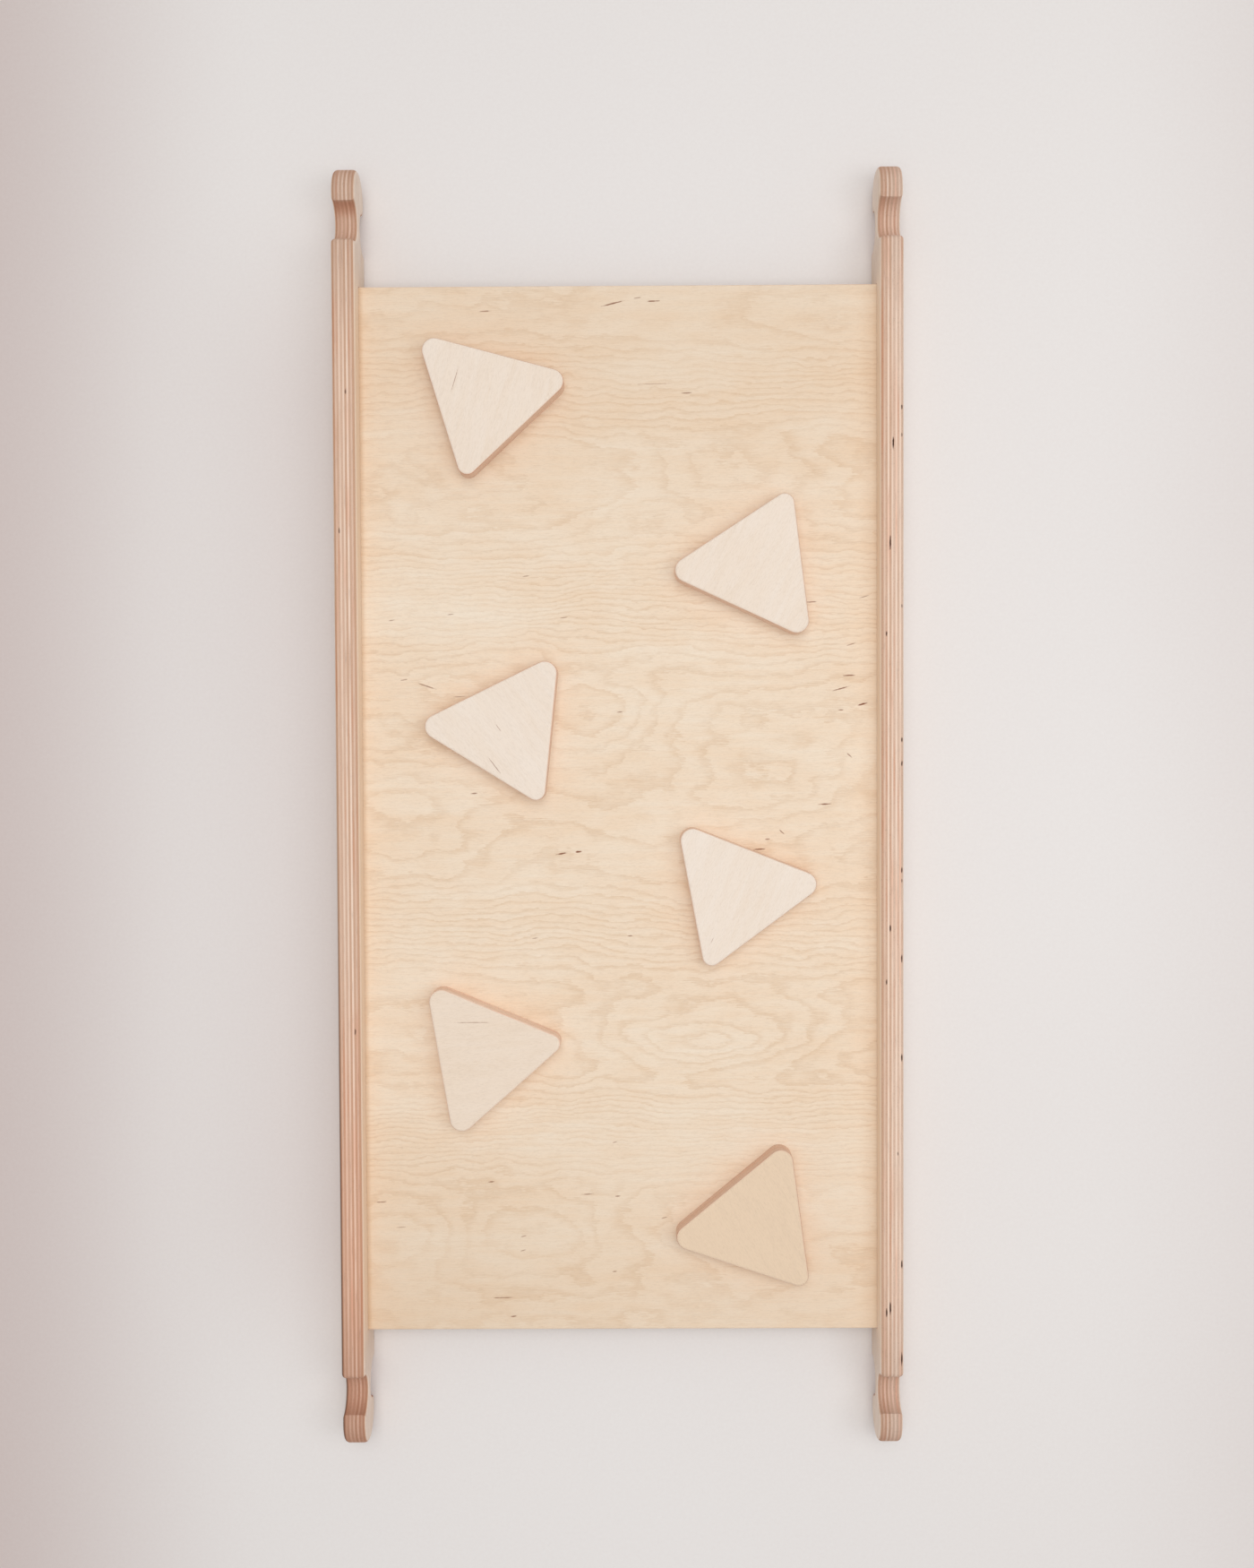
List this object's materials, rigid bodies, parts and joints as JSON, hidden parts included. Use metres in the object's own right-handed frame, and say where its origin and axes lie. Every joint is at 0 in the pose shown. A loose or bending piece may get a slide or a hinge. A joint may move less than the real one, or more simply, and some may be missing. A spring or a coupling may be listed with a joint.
{
  "type": "climbing ramp",
  "caption": "Plywood climbing ramp for an indoor play frame: a panel with triangular foot holds between rails whose notched ends hook over a rung.",
  "frame": {"origin": "middle of the underside of the bounding box, on the surface that the ramp lies on", "axes": "+Z out of the climbing face, +Y along the rails towards the end that is uppermost in the picture, +X across to the right as seen from the climbing face"},
  "size_m": [0.43, 0.979, 0.048],
  "materials": {
    "rail_plywood": "bare birch plywood, edges sanded",
    "panel_plywood": "clear matt birch plywood face",
    "hold_plywood": "pale matt birch plywood face",
    "screw_steel": "zinc plated"
  },
  "bodies": {
    "root": {"rail_left": "rail_plywood", "rail_right": "rail_plywood", "climbing_panel": "panel_plywood", "rail_left_screws": "screw_steel", "rail_right_screws": "screw_steel", "hold_1": "hold_plywood", "hold_1_screws": "screw_steel", "hold_2": "hold_plywood", "hold_2_screws": "screw_steel", "hold_3": "hold_plywood", "hold_3_screws": "screw_steel", "hold_4": "hold_plywood", "hold_4_screws": "screw_steel", "hold_5": "hold_plywood", "hold_5_screws": "screw_steel", "hold_6": "hold_plywood", "hold_6_screws": "screw_steel"}
  },
  "joints": []
}
